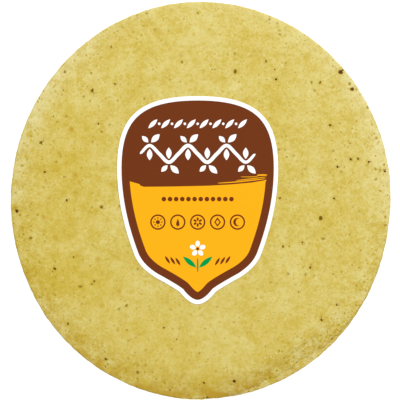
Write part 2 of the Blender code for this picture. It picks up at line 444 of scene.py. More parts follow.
# The corner where the top tortilla stops short. Its edge there slopes down onto the next one: how
# much thinner it gets, from which share of the way out, how far it settles, the power that keeps
# this to the edge, and its ragged waves
CORNER = radians(-60)
CORNER_REACH = radians(42)
CORNER_THINNING = 0.97
CORNER_START = 0.915
CORNER_SETTLING = 0.33 * MM
SETTLING_POWER = 8
RAGGED_WAVES = (
    (23, 0.5, 0.25 * MM), (61, 2.1, 0.30 * MM), (127, 4.0, 0.25 * MM), (229, 1.0, 0.20 * MM),
)
# What rounding takes off the rim
ROUNDED_AWAY = 0.1 * MM

# How coarse the dough looks: in the middle, how much more at the rim and from where on, and the
# sides, by direction and reach, where rim and middle are finer. At the corner it is coarsest
COARSE_MIDDLE = 0.86
COARSE_RIM = 0.75
COARSE_CORNER = 0.5
COARSE_START = 0.80
COARSE_FULL = 0.975
FINE_RIM = (radians(80), radians(85))
FINE_MIDDLE = (radians(-90), radians(75))
FINE_SHARE = 0.2

# From which share of the way out flour and crust begin, and where they are full
COAT_START = 0.84
RIM_FULL = 0.985


def hump(direction, middle, reach):
    """1 in the middle direction, falling softly to 0 at its reach on both sides."""
    away = np.clip(np.abs((direction - middle + pi) % tau - pi) / reach, 0.0, 1.0)
    return 1.0 - away * away * (3.0 - 2.0 * away)


def vertex_points(piece):
    """The places of all vertices of a piece, one row each."""
    points = np.empty(len(piece.data.vertices) * 3)
    piece.data.vertices.foreach_get("co", points)
    return points.reshape(-1, 3)


def inset_end(piece, segments, way, widths):
    """Inset one end of a disc ring after ring, and close its middle by a fan."""
    only(piece)
    bpy.ops.object.mode_set(mode="EDIT")
    bpy.ops.mesh.select_mode(type="FACE")
    bpy.ops.mesh.select_all(action="DESELECT")
    work = bmesh.from_edit_mesh(piece.data)
    for face in work.faces:
        if len(face.verts) == segments and face.normal.z * way > 0.5:
            face.select = True
    bmesh.update_edit_mesh(piece.data)
    for width in widths:
        bpy.ops.mesh.inset(thickness=width)
    bpy.ops.mesh.poke()
    bpy.ops.object.mode_set(mode="OBJECT")


def roll_disc(name, segments, upper_widths, lower_widths):
    """A flat round of dough with a rounded rim, standing on Z = 0."""
    bpy.ops.object.select_all(action="DESELECT")
    bpy.ops.mesh.primitive_cylinder_add(vertices=segments, radius=DISC_RADIUS, depth=DISC_THICKNESS,
                                        location=(0, 0, DISC_THICKNESS / 2))
    piece = bpy.context.object
    piece.name = name
    bpy.ops.object.transform_apply(location=True, rotation=True, scale=True)
    bpy.ops.object.mode_set(mode="EDIT")
    bpy.ops.mesh.select_mode(type="EDGE")
    bpy.ops.mesh.select_all(action="DESELECT")
    bpy.ops.mesh.edges_select_sharp(sharpness=radians(60))
    bpy.ops.mesh.bevel(offset=RIM_ROUNDING, segments=RIM_STEPS, profile=0.5, affect="EDGES")
    bpy.ops.object.mode_set(mode="OBJECT")
    inset_end(piece, segments, 1, upper_widths)
    inset_end(piece, segments, -1, lower_widths)
    return piece


def lay_in_pile(piece, shape):
    """Move a plain disc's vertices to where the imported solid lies."""
    points = vertex_points(piece)
    direction = np.arctan2(points[:, 1], points[:, 0])
    share = np.hypot(points[:, 0], points[:, 1]) / DISC_RADIUS
    reach = np.interp(direction, shape["direction"], shape["radius"], period=tau) + ROUNDED_AWAY
    lower = height_at(shape["lower"], direction, share)
    upper = height_at(shape["upper"], direction, share)
    if shape is SHAPES[TOP]:
        corner = hump(direction, CORNER, CORNER_REACH)
        edge = corner * np.clip((share - CORNER_START) / (1 - CORNER_START), 0.0, 1.0)
        ragged = sum(depth * np.cos(waves * direction + turn) for waves, turn, depth in RAGGED_WAVES)
        reach = reach + edge * ragged
        settled = np.clip(share / CORNER_START, 0.0, 1.0) ** SETTLING_POWER
        lower = lower - corner * CORNER_SETTLING * settled
        upper = upper - (upper - lower) * CORNER_THINNING * edge
    points[:, 0] = share * reach * np.cos(direction)
    points[:, 1] = share * reach * np.sin(direction)
    points[:, 2] = lower + points[:, 2] / DISC_THICKNESS * (upper - lower)
    piece.data.vertices.foreach_set("co", points.ravel())
    piece.data.update()


def mark_rim(piece, start, pale_rim_sides, dark_rim_sides):
    """Say where a plain disc's rim is, in a vertex group, and how coarse, floury and crusty it is.

    A side is its direction, how far it reaches to both sides, and how strong it is there. On the top
    tortilla the pale, floury sides are also a painted highlight, and the dark, crusty ones painted shade.
    """
    points = vertex_points(piece)
    direction = np.arctan2(points[:, 1], points[:, 0])
    share = np.hypot(points[:, 0], points[:, 1]) / DISC_RADIUS
    rim = np.clip((share - start) / (RIM_FULL - start), 0.0, 1.0)
    coat = np.clip((share - COAT_START) / (RIM_FULL - COAT_START), 0.0, 1.0) ** 2
    outer = np.clip((share - COARSE_START) / (COARSE_FULL - COARSE_START), 0.0, 1.0)
    at_rim = COARSE_RIM * (1 - hump(direction, *FINE_RIM))
    at_rim += COARSE_CORNER * hump(direction, CORNER, CORNER_REACH)
    inside = COARSE_MIDDLE * (1 - FINE_SHARE * hump(direction, *FINE_MIDDLE))
    coarse = inside + (COARSE_MIDDLE + at_rim - inside) * outer ** 2
    piece.data.attributes.new("coarse", "FLOAT", "POINT").data.foreach_set("value", coarse)
    group = piece.vertex_groups.new(name="rim")
    for index in np.flatnonzero(rim):
        group.add([int(index)], rim[index], "REPLACE")
    for name, sides in (("flour_and_painted_light", pale_rim_sides), ("crust_and_painted_shade", dark_rim_sides)):
        amount = sum(strength * hump(direction, side, reach) for side, reach, strength in sides)
        piece.data.attributes.new(name, "FLOAT", "POINT").data.foreach_set("value", coat * amount)


def roughen(piece, name, size, depth, group=""):
    """Press a cloudy relief of this size and depth into a piece, only where its group is."""
    clouds = bpy.data.textures.new(name, type="CLOUDS")
    clouds.noise_scale = size
    clouds.noise_depth = 2
    only(piece)
    relief = piece.modifiers.new(name, "DISPLACE")
    relief.texture = clouds
    relief.texture_coords = "LOCAL"
    relief.strength = depth
    relief.mid_level = 0.5
    relief.vertex_group = group
    bpy.ops.object.modifier_apply(modifier=relief.name)


print("tools for rolling dough")

# %% The tortillas under the top one
# Faces round the rim, the widths of the rings inwards on both faces, and where the torn rim begins
LOWER_SEGMENTS = 540
LOWER_UPPER_WIDTHS = (0.6 * MM,) * 5 + (0.9 * MM, 1.3 * MM, 2.2 * MM, 4 * MM, 8 * MM, 14 * MM)
LOWER_LOWER_WIDTHS = (1.6 * MM, 3 * MM, 6 * MM, 14 * MM)
LOWER_RIM_START = 0.93

# Their floury and crusty sides are drawn at random: how far each reaches, and how strong it is
RIM_SEED = 5
LOWER_FLOUR = (radians(110), 0.8)
LOWER_CRUST = (radians(70), 0.7)

# The second tortilla shows beside the top one, so its rim is finer, and crusty there; that crust
# is also painted shade along the step under the top one's edge
SECOND = TORTILLAS[-2]
SECOND_SEGMENTS = 720
SECOND_UPPER_WIDTHS = (0.45 * MM,) * 9 + (0.9 * MM, 1.3 * MM, 2.2 * MM, 4 * MM, 8 * MM, 14 * MM)
SECOND_FLOUR = ((CORNER, radians(55), 0.25),)
SECOND_CRUST_AND_PAINTED_SHADE = ((CORNER, radians(55), 0.6),)


def finish_tortilla(piece, node):
    """Give a tortilla its dough, and let it stand for its solid, with nothing below the ground."""
    points = vertex_points(piece)
    points[:, 2] = np.maximum(points[:, 2], 0.0)
    piece.data.vertices.foreach_set("co", points.ravel())
    piece.data.materials.append(DOUGH)
    piece.data.shade_smooth()
    piece.vertex_groups.clear()
    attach(piece, "root")
    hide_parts(node)


rim_draw = np.random.default_rng(RIM_SEED)
for node in TORTILLAS[:-1]:
    pale_rim_sides = [(rim_draw.uniform(0, tau), *LOWER_FLOUR)]
    dark_rim_sides = [(rim_draw.uniform(0, tau), *LOWER_CRUST) for _ in range(2)]
    if node == SECOND:
        piece = roll_disc("baked_" + node, SECOND_SEGMENTS, SECOND_UPPER_WIDTHS, LOWER_LOWER_WIDTHS)
        mark_rim(piece, LOWER_RIM_START, SECOND_FLOUR, SECOND_CRUST_AND_PAINTED_SHADE)
    else:
        piece = roll_disc("baked_" + node, LOWER_SEGMENTS, LOWER_UPPER_WIDTHS, LOWER_LOWER_WIDTHS)
        mark_rim(piece, LOWER_RIM_START, pale_rim_sides, dark_rim_sides)
    lay_in_pile(piece, SHAPES[node])
    roughen(piece, "torn_rim", 2.6 * MM, 0.45 * MM, "rim")
    roughen(piece, "rim_crumbs", 0.9 * MM, 0.28 * MM, "rim")
    finish_tortilla(piece, node)
print("made", len(TORTILLAS) - 1, "lower tortillas of", len(piece.data.polygons), "faces")

# %% [markdown]
# The top tortilla is the one that shows, so it has a face every 0.65 mm outside the label. Its
# relief is three sizes of clouds: low hills from the baking, the ground corn, and a torn rim.

# %% The top tortilla
TOP_SEGMENTS = 720
TOP_STEP = 0.65 * MM
TOP_STEPS = 68
TOP_UPPER_WIDTHS = (TOP_STEP,) * TOP_STEPS + (3 * MM,) * 5
TOP_RIM_START = 0.95
# The top's floury sides are also a painted highlight on the rim towards the window; its crusty sides are
# also painted shade on the rim away from it and on the corner's slope
FLOUR_AND_PAINTED_LIGHT_SIDES = ((radians(30), radians(75), 0.75), (radians(144), radians(55), 0.95))
CRUST_AND_PAINTED_SHADE_SIDES = (
    (radians(-116), radians(66), 0.9), (radians(-86), radians(28), 1.0), (CORNER, CORNER_REACH, 0.3),
)

top = roll_disc("baked_" + TOP, TOP_SEGMENTS, TOP_UPPER_WIDTHS, LOWER_LOWER_WIDTHS)
mark_rim(top, TOP_RIM_START, FLOUR_AND_PAINTED_LIGHT_SIDES, CRUST_AND_PAINTED_SHADE_SIDES)
lay_in_pile(top, SHAPES[TOP])
roughen(top, "baked_hills", 11 * MM, 0.22 * MM)
roughen(top, "ground_corn", 2.4 * MM, 0.07 * MM)
roughen(top, "torn_rim", 2.6 * MM, 0.30 * MM, "rim")
roughen(top, "rim_crumbs", 0.9 * MM, 0.18 * MM, "rim")
finish_tortilla(top, TOP)
print("top tortilla:", len(top.data.polygons), "faces")

# %% [markdown]
# ## Husk flecks
#
# Bits of dark corn husk are baked into the dough. They are thin, uneven flakes of one or two
# millimetres, some black-brown, some ochre. They could be painted, but a flake has an edge
# that catches the light, so each is a small ball, flattened, made uneven and sunk into the dough.
# The largest ones have their places here, across and up from the stack's middle, and the rest is
# scattered.

# %% Husk flecks
FLAKE_THICKNESS = 0.16 * MM
FLAKE_PROUD = 0.045 * MM
FLAKE_LOBES = (0.15, 0.14, 0.06)
FLAKE_STRETCH = (0.65, 1.0)
EDGE_FADE = 0.5
SCATTER_SEED = 7

# Small flecks: how many, how far out they go, their least size, how much larger some are, and tones
SCATTERED = 110
SCATTER_REACH = 0.975
LEAST_FLECK = 0.38
FLECK_GROWTH = 0.65
FLECK_TONES = (0.3, 1.1)

# Crumbs of husk lie beside each fleck, but a fleck of this size in mm is whole and has none: how
# far away and how large they are, in fleck sizes, and how much paler
CRUMBS_EACH = 2
WHOLE_FLECK = 1.8
CRUMB_AWAY = (0.45, 0.85)
CRUMB_SIZE = (0.25, 0.50)
CRUMB_PALER = (0.25, 0.6)

# Stains: how far past the fleck they go, how strong, and those of flecks that lie under the dough
STAIN_REACH = 0.9 * MM
STAIN_STRENGTH = 0.5
BURIED = 40
BURIED_STRENGTH = 0.45

# Across and up in mm, size in mm, and tone from 0, black-brown, to 1, pale ochre
LARGE_FLECKS = (
    (53.5, 49.6, 2.5, 0.20), (57.9, 43.0, 1.9, 0.30), (12.7, -69.0, 1.9, 0.0), (-56.1, -25.8, 1.6, 0.3),
    (46.0, -45.4, 1.3, 0.2), (51.9, -39.6, 1.0, 0.3), (-51.5, 0.4, 1.3, 0.3), (-70.7, -3.7, 1.4, 0.1),
    (-59.9, 11.2, 1.3, 0.3), (-39.4, 29.7, 1.1, 0.4), (-51.1, -46.9, 1.2, 0.3), (-36.6, -60.5, 1.3, 0.4),
    (1.0, -69.5, 1.1, 0.3), (45.7, -6.5, 1.9, 0.4), (50.8, 1.1, 1.1, 0.4), (30.1, 1.2, 1.2, 0.4),
    (52.1, 13.2, 1.2, 0.3), (57.2, 16.1, 1.2, 0.3), (60.0, 16.3, 1.5, 0.6), (64.1, 15.1, 1.1, 0.2),
    (70.3, 11.5, 1.2, 0.2), (49.3, 29.1, 1.3, 0.3), (28.6, 46.7, 1.1, 0.1), (24.8, 53.6, 1.1, 0.4),
    (41.7, -25.3, 1.2, 0.4), (31.3, -17.3, 1.2, 0.4), (38.7, -15.7, 1.1, 0.4), (-41.0, -30.6, 1.1, 0.5),
    (-14.4, -48.4, 0.9, 0.2), (13.0, 49.7, 1.8, 0.5), (-41.7, 42.4, 1.7, 0.4), (-61.4, 22.5, 1.7, 0.4),
    (-38.2, -2.2, 1.7, 0.6), (-46.2, -32.6, 1.8, 0.7), (-28.6, -39.9, 1.5, 0.7), (45.5, 45.5, 1.4, 0.6),
    (42.2, 45.5, 1.4, 0.8), (-34.5, 59.1, 1.4, 0.8), (-33.0, 44.9, 1.3, 0.7), (-1.4, 72.1, 1.5, 0.9),
)

# Where the top is baked more than the rest: across and up in mm, size in mm and strength. The
# last one, on the rim beyond the label's tip, is painted shade where that rim faces away from
# the window
BAKED_PARTS_AND_PAINTED_SHADE = (
    (-49, 15, 42, 0.85), (-53, -9, 36, 0.8), (-54, -28, 36, 0.85), (-38, -33, 36, 1.0), (-22, -48, 28, 0.5),
    (4, -71, 18, 1.0),
)

# Scorched spots, which the hot plate left on it, in the same way
SCORCHED = (
    (-49.7, 27.6, 1.8, 0.90), (-54.3, 18.3, 1.0, 0.65), (-60.0, 23.9, 0.9, 0.50),
    (-48.1, 10.1, 1.3, 0.65), (-46.7, 7.2, 0.8, 0.60), (-71.6, -2.5, 1.8, 0.90),
    (-48.0, 3.2, 1.0, 0.65), (-60.2, -6.4, 1.3, 0.60), (-39.6, -22.3, 1.8, 0.65),
    (-31.5, -34.4, 1.6, 0.60), (-38.2, -39.9, 1.2, 0.50), (-56.0, -14.1, 1.4, 0.55),
)
husk_draw = np.random.default_rng(SCATTER_SEED)


def dough_surface(piece):
    """The finished dough as a tree that rays can meet."""
    corners = [tuple(vertex.co) for vertex in piece.data.vertices]
    return BVHTree.FromPolygons(corners, [tuple(face.vertices) for face in piece.data.polygons])


def scattered_flecks(draw, number):
    """Small flecks all over the top, most of them fine."""
    flecks = []
    for _ in range(number):
        direction = draw.uniform(0, tau)
        out = draw.uniform(0.0, 1.0) ** 0.5 * SCATTER_REACH
        size = LEAST_FLECK + FLECK_GROWTH * draw.uniform(0, 1) ** 3
        flecks.append((out * cos(direction) * HALF_WIDTH / MM, out * sin(direction) * HALF_LENGTH / MM,
                       size, draw.uniform(*FLECK_TONES)))
    return flecks


def with_crumbs(draw, flecks):
    """The flecks, all but the largest with a few paler crumbs of husk broken off beside them."""
    crumbs = []
    for across, up, size, tone in flecks:
        for _ in range(CRUMBS_EACH if size < WHOLE_FLECK else 0):
            direction = draw.uniform(0, tau)
            away = size * draw.uniform(*CRUMB_AWAY)
            crumbs.append((across + away * cos(direction), up + away * sin(direction),
                           size * draw.uniform(*CRUMB_SIZE), tone + draw.uniform(*CRUMB_PALER)))
    return list(flecks) + crumbs


def mark_spots(piece, name, spots):
    """Mark the dough on and round each spot, in an attribute. A spot is its place, size and strength."""
    points = vertex_points(piece)
    raised = points[:, 2] > top_low.z
    marks = np.zeros(len(points))
    for across, up, size, strength in spots:
        away = np.hypot(points[:, 0] - across * MM, points[:, 1] - up * MM)
        reach = size / 2 * MM + STAIN_REACH
        near = raised & (away < reach)
        marks[near] = np.maximum(marks[near], strength * (1 - (away[near] / reach) ** 2) ** 2)
    piece.data.attributes.new(name, "FLOAT", "POINT").data.foreach_set("value", marks)


def model_flake():
    """The ball that each flake is pressed from: its corners and its faces."""
    bpy.ops.object.select_all(action="DESELECT")
    bpy.ops.mesh.primitive_ico_sphere_add(subdivisions=2, radius=0.5)
    flake = bpy.context.object
    points = np.array([vertex.co for vertex in flake.data.vertices])
    faces = np.array([face.vertices[:] for face in flake.data.polygons])
    bpy.data.objects.remove(flake)
    return points, faces


def scatter_flakes(name, flecks, surface, draw):
    """All flecks as one mesh, each uneven, turned, stretched and sunk into the dough."""
    points, faces = model_flake()
    all_points, all_faces, all_tones = [], [], []
    for across, up, size, tone in flecks:
        met, normal, _, _ = surface.ray_cast((across * MM, up * MM, 1.0), (0, 0, -1))
        if met is None:
            continue
        turn = draw.uniform(0, tau)
        stretch = draw.uniform(*FLAKE_STRETCH)
        bumps = draw.uniform(-1, 1, 3) * FLAKE_LOBES
        angle = np.arctan2(points[:, 1], points[:, 0])
        uneven = 1 + sum(bump * np.cos(lobes * (angle + turn)) for lobes, bump in zip((2, 3, 5), bumps))
        local = points * uneven[:, None] * (size * MM, size * MM * stretch, FLAKE_THICKNESS)
        local[:, 2] += FLAKE_PROUD - FLAKE_THICKNESS / 2
        x_way = Vector((cos(turn), sin(turn), 0))
        x_way = (x_way - normal * x_way.dot(normal)).normalized()
        y_way = normal.cross(x_way)
        ways = np.array((x_way, y_way, normal))
        all_faces.append(faces + len(points) * len(all_points))
        all_points.append(local @ ways + np.array(met))
        all_tones.append(tone + EDGE_FADE * (2 * np.hypot(points[:, 0], points[:, 1])) ** 3)
    mesh = bpy.data.meshes.new(name)
    mesh.from_pydata(np.vstack(all_points).tolist(), [], np.vstack(all_faces).tolist())
    mesh.attributes.new("tone", "FLOAT", "POINT").data.foreach_set("value", np.concatenate(all_tones))
    mesh.shade_smooth()
    piece = bpy.data.objects.new(name, mesh)
    bpy.context.scene.collection.objects.link(piece)
    return piece


# Husk colours from the black-brown middle of a fleck to its edge, where dough covers it
HUSK_TONES = (
    (0.0, "382212"), (0.22, "5E4014"), (0.45, "80620C"), (0.75, "A68E30"), (1.0, "C4AC40"),
)
TONE_RANGE = 1.25

# The grain of the husk, and how its noise moves the tone: times the first, plus the second
HUSK_GRAIN = 0.5 * MM
TONE_BY_GRAIN = (0.35, -0.17)


def husk():
    """Dry corn husk, baked: black-brown or ochre, under a skin of dough at its edge."""
    material, tree, output = new_material("baked_corn_husk")
    tone = add_node(tree, "Attribute", output="Fac", attribute_name="tone")
    place = add_node(tree, "TexCoord", output="Object")
    noise = add_node(tree, "TexNoise", {"Vector": place, "Scale": 1 / HUSK_GRAIN}, "Fac")
    uneven = add_node(tree, "Math", {0: noise, 1: TONE_BY_GRAIN[0], 2: TONE_BY_GRAIN[1]},
                      operation="MULTIPLY_ADD")
    shown = add_node(tree, "Math", {0: tone, 1: 1 / TONE_RANGE, 2: uneven}, operation="MULTIPLY_ADD")
    colour = add_node(tree, "ValToRGB", {"Fac": shown}, "Color")
    ramp = colour.node.color_ramp
    ramp.elements[1].position = HUSK_TONES[1][0]
    for position, _ in HUSK_TONES[2:]:
        ramp.elements.new(position)
    for stop, (_, tint) in zip(ramp.elements, HUSK_TONES):
        stop.color = (*linear(tint), 1)
    surface = add_node(tree, "BsdfPrincipled", {
        "Base Color": colour, "Roughness": 0.7, "IOR": 1.45, "Specular IOR Level": 0.1,
    })
    tree.links.new(surface, output.inputs["Surface"])
    return material


top_surface = dough_surface(top)
placed = with_crumbs(husk_draw, LARGE_FLECKS) + scattered_flecks(husk_draw, SCATTERED)
flecks = scatter_flakes("husk_flecks", placed, top_surface, husk_draw)
spots = [(across, up, size, STAIN_STRENGTH * max(1 - tone, 0.0)) for across, up, size, tone in placed]
spots += [(across, up, size, BURIED_STRENGTH * tone)
          for across, up, size, tone in scattered_flecks(husk_draw, BURIED)]
mark_spots(top, "stain", spots + list(SCORCHED))
mark_spots(top, "baked_and_painted_shade", BAKED_PARTS_AND_PAINTED_SHADE)
flecks.data.materials.append(husk())
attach(flecks, "root")
print("flecks:", len(flecks.data.polygons), "faces")

# %% [markdown]
# ## The paper label
#
# The label is a shield of thin white paper, die-cut and printed in matt brown and yellow. A picture
# on the paper would need an image file. Instead every print is drawn as closed outlines, the way a
# printer draws them, filled as a flat curve, and given the thickness of a coat of ink. The paper
# and its inks are cut in small squares first, so that they can lie on the dough's low crown.

# %% The label's outline
label_low, label_high = (Vector(corner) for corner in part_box("label"))

# The shield is a hair narrower than its solid, and lies to the right in it by this much
LABEL_SHIFT = 0.13 * MM
LABEL_X = (label_low.x + label_high.x) / 2 + LABEL_SHIFT
LABEL_Y = label_high.y
POINTS_PER_CURVE = 24

# The right half in mm, across and down from the middle of the head: each knot, the handle before
# it and the handle after it
LABEL_KNOTS = (
    ((0.0, 0.0), (-22.65, 0.0), (22.65, 0.0)),
    ((30.8, 27.5), (30.8, 7.9), (30.8, 38.5)),
    ((24.4, 60.2), (28.5, 49.2), (23.1, 63.8)),
    ((16.1, 69.4), (20.4, 66.7), (13.3, 70.9)),
    ((6.6, 75.2), (7.0, 74.5), (5.0, 77.2)),
    ((0.0, 79.6), (2.6, 79.6), (-2.6, 79.6)),
)


def mirrored(points):
    """The same points on the other side of the label's middle line."""
    return [(-across, down) for across, down in points]


def label_outline():
    """The label's whole edge, clockwise from the middle of its head."""
    right = []
    for (knot, _, handle), (after, handle_after, _) in zip(LABEL_KNOTS, LABEL_KNOTS[1:]):
        corners = [Vector(corner) for corner in (knot, handle, handle_after, after)]
        right += interpolate_bezier(*corners, POINTS_PER_CURVE)[:-1]
    right = [tuple(point) for point in right]
    return right + [LABEL_KNOTS[-1][0]] + mirrored(right[:0:-1])


def inset_outline(outline, width):
    """An outline moved inwards, without the points that would come nearer to it than that."""
    edge = np.array(outline)
    along = np.roll(edge, -1, axis=0) - np.roll(edge, 1, axis=0)
    along /= np.linalg.norm(along, axis=1)[:, None]
    moved = edge + width * np.column_stack((-along[:, 1], along[:, 0]))
    nearest = np.linalg.norm(moved[:, None] - edge[None], axis=2).min(axis=1)
    return [tuple(point) for point in moved[nearest > 0.999 * width]]


LABEL_EDGE = label_outline()
print(len(LABEL_EDGE), "points round the label")

# %% Filling, cutting and laying down
SQUARE = 5.0
CUTS_ACROSS = np.arange(-30, 31, SQUARE)
CUTS_DOWN = np.arange(SQUARE, 80, SQUARE)
PAPER_CLEARANCE = 0.22 * MM
PAPER_THICKNESS = 0.25 * MM
INK_THICKNESS = 0.02 * MM
PAPER_TOP = PAPER_CLEARANCE + PAPER_THICKNESS


def fill_outlines(name, outlines):
    """A flat mesh in mm from closed outlines. An outline inside another one is a hole in it."""
    bpy.ops.object.select_all(action="DESELECT")
    bpy.ops.curve.primitive_bezier_curve_add()
    drawing = bpy.context.object
    drawing.name = name
    drawing.data.splines.clear()
    drawing.data.dimensions = "2D"
    drawing.data.fill_mode = "BOTH"
    for outline in outlines:
        spline = drawing.data.splines.new("POLY")
        spline.points.add(len(outline) - 1)
        for point, (across, down) in zip(spline.points, outline):
            point.co = (across, -down, 0, 1)
        spline.use_cyclic_u = True
    bpy.ops.object.convert(target="MESH")
    return bpy.context.object


def cut_in_squares(piece):
    """Cut a flat mesh along a square grid."""
    only(piece)
    bpy.ops.object.mode_set(mode="EDIT")
    bpy.ops.mesh.select_mode(type="FACE")
    for across in CUTS_ACROSS:
        bpy.ops.mesh.select_all(action="SELECT")
        bpy.ops.mesh.bisect(plane_co=(across, 0, 0), plane_no=(1, 0, 0))
    for down in CUTS_DOWN:
        bpy.ops.mesh.select_all(action="SELECT")
        bpy.ops.mesh.bisect(plane_co=(0, -down, 0), plane_no=(0, 1, 0))
    bpy.ops.object.mode_set(mode="OBJECT")


def lay_on_dough(piece, clearance, thickness):
    """Lay a flat mesh, drawn in mm, over the top tortilla and thicken it upwards."""
    for vertex in piece.data.vertices:
        x = LABEL_X + vertex.co.x * MM
        y = LABEL_Y + vertex.co.y * MM
        direction = np.arctan2(y, x)
        reach = np.interp(direction, SHAPES[TOP]["direction"], SHAPES[TOP]["radius"], period=tau)
        dough = height_at(SHAPES[TOP]["upper"], direction, np.hypot(x, y) / reach)
        vertex.co = (x, y, dough + clearance)
    only(piece)
    sheet = piece.modifiers.new("sheet", "SOLIDIFY")
    sheet.thickness = thickness
    sheet.offset = 1.0
    bpy.ops.object.modifier_apply(modifier=sheet.name)
    bpy.ops.object.shade_smooth_by_angle(angle=radians(30))
    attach(piece, "root")


print("paper", PAPER_THICKNESS / MM, "mm thick")

# %% [markdown]
# ## Paper and ink
#
# Label paper is a matt, slightly fibrous sheet, and its print is soaked in rather than lying on
# top, so it has almost no gloss of its own. A dark colour would turn greyish with only a little
# gloss, so the specular level is close to nothing. Faint fibres make each colour slightly uneven.

# %% Paper and ink materials
FIBRE = 0.9 * MM
FIBRE_CONTRAST = 0.05


def printed_paper(name, colour):
    """Matt paper in one printed colour, made slightly uneven by its fibres."""
    material, tree, output = new_material(name)
    place = add_node(tree, "TexCoord", output="Object")
    fibres = add_node(tree, "TexNoise", {
        "Vector": place, "Scale": 1 / FIBRE, "Detail": 3, "Roughness": 0.7,
    }, "Fac")
    shade = add_node(tree, "MapRange", {
        "Value": fibres, "To Min": 1 - FIBRE_CONTRAST, "To Max": 1 + FIBRE_CONTRAST,
    })
    ink = add_node(tree, "VectorMath", {0: linear(colour), 1: shade}, operation="MULTIPLY")
    bump = add_node(tree, "Bump", {"Height": fibres, "Strength": 0.15, "Distance": 0.03 * MM})
    surface = add_node(tree, "BsdfPrincipled", {
        "Base Color": ink, "Normal": bump, "Roughness": 0.75, "IOR": 1.45, "Specular IOR Level": 0.04,
    })
    tree.links.new(surface, output.inputs["Surface"])
    return material


WHITE_PAPER = printed_paper("white_label_paper", "FFFFFE")
BROWN_INK = printed_paper("brown_ink_on_paper", "703618")
YELLOW_INK = printed_paper("yellow_ink_on_paper", "FFB117")
GREEN_INK = printed_paper("green_ink_on_paper", "009A4A")
WHITE_INK = printed_paper("white_ink_on_paper", "FEFEFC")
print("paper and four inks")

# %% Paper and fields of ink
# How far inside the label's edge the brown field begins, and the yellow one
BORDER = 1.66
FIELD_BORDER = 4.66

# The yellow field's upper edge is one broad pull of a dry brush, in mm from its left end
BRUSH_EDGE = (
    (-26.0, 32.6), (-22.2, 33.7), (-22.0, 34.2), (-20.6, 34.7), (-9.2, 34.6),
    (4.1, 34.3), (12.7, 33.8), (20.5, 33.1), (25.2, 32.3), (26.4, 32.0),
)


def make_ink(name, outlines, ink, coats_below=0, in_squares=False):
    """One coat of ink on the label, over as many coats as lie below it."""
    piece = fill_outlines(name, outlines)
    if in_squares:
        cut_in_squares(piece)
    lay_on_dough(piece, PAPER_TOP + coats_below * INK_THICKNESS, INK_THICKNESS)
    piece.data.materials.append(ink)
    return piece


paper = fill_outlines("label_sheet", [LABEL_EDGE])
cut_in_squares(paper)
lay_on_dough(paper, PAPER_CLEARANCE, PAPER_THICKNESS)
paper.data.materials.append(WHITE_PAPER)
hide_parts("label")

make_ink("brown_field", [inset_outline(LABEL_EDGE, BORDER)], BROWN_INK, in_squares=True)
below_brush = [(across, down) for across, down in inset_outline(LABEL_EDGE, FIELD_BORDER)
               if down > BRUSH_EDGE[0][1]]
make_ink("yellow_field", [list(BRUSH_EDGE) + below_brush], YELLOW_INK, 1, in_squares=True)
print("label sheet:", len(paper.data.polygons), "faces")

# %% [markdown]
# ## Ornaments
#
# The inks also hold small figures: in white, a border of slanting leaves over a leafy vine, then a
# row of brown rounds, five ring-shaped marks and a sprig in bloom. They are all built from three
# shapes: a round, a leaf with pointed ends, and a pen stroke, which swells in its middle as a nib
# does. What stands in a row is made by a loop, from its pitch.

# %% Rounds, leaves and strokes
STEPS_BETWEEN_KNOTS = 9


def round_outline(across, down, radius, radius_down=None, turn=0.0, sides=24):
    """A circle or an ellipse, turned about its middle."""
    angle = np.arange(sides) * tau / sides
    x = radius * np.cos(angle)
    y = (radius_down or radius) * np.sin(angle)
    return list(zip(across + x * cos(turn) - y * sin(turn), down + x * sin(turn) + y * cos(turn)))


def smooth_line(knots):
    """Points on a smooth curve through all knots."""
    knots = np.array(knots)
    ends = np.vstack((2 * knots[0] - knots[1], knots, 2 * knots[-1] - knots[-2]))
    step = np.arange(STEPS_BETWEEN_KNOTS)[:, None] / STEPS_BETWEEN_KNOTS
    line = []
    for before, start, end, after in zip(ends, ends[1:], ends[2:], ends[3:]):
        bend = 2 * before - 5 * start + 4 * end - after
        twist = -before + 3 * start - 3 * end + after
        line.append(start + 0.5 * (step * (end - before) + step**2 * bend + step**3 * twist))
    return np.vstack(line + [knots[-1:]])


def pen_stroke(knots, width, swell=0.6, tip=0.15):
    """The outline of a stroke along a smooth line, widest in its middle."""
    line = smooth_line(knots)
    along = np.gradient(line, axis=0)
    along /= np.linalg.norm(along, axis=1)[:, None]
    share = np.linspace(0, pi, len(line))
    half = 0.5 * width * (tip + (1 - tip) * np.sin(share) ** swell)
    side = np.column_stack((-along[:, 1], along[:, 0])) * half[:, None]
    return [tuple(point) for point in np.vstack((line + side, (line - side)[::-1]))]


def leaf(start, end, width):
    """A straight leaf with two pointed ends."""
    middle = ((start[0] + end[0]) / 2, (start[1] + end[1]) / 2)
    return pen_stroke((start, middle, end), width, swell=0.9, tip=0.02)


def both_sides(outlines):
    """Outlines with their mirror images."""
    return outlines + [mirrored(outline) for outline in outlines]


def row_places(number, pitch):
    """Places across the label for a row in its middle."""
    return [(place - (number - 1) / 2) * pitch for place in range(number)]


print("three shapes")

# %% The ornaments
# The leaf border: its place down the label, and its leaves and dots
BORDER_DOWN = 10.6
BORDER_LEAVES = 8
BORDER_PITCH = 4.9
LEAF_SLANT = 1.7
LEAF_WIDTH = 1.6
DOT_RADIUS = 0.5

# The vine under it, and the leaves at each of its bends: start and end, across and outwards from
# the bend, and width
VINE_DOWN = 22.1
VINE_LENGTH = 44.1
VINE_WAVES = 3
VINE_SWING = 3.2
VINE_WIDTH = 1.4
BEND_LEAVES = (
    ((0.6, 1.2), (3.8, 4.3), 2.2), ((-0.5, 1.2), (-2.9, 3.6), 1.8), ((0.0, -1.3), (0.0, -5.6), 2.1),
)

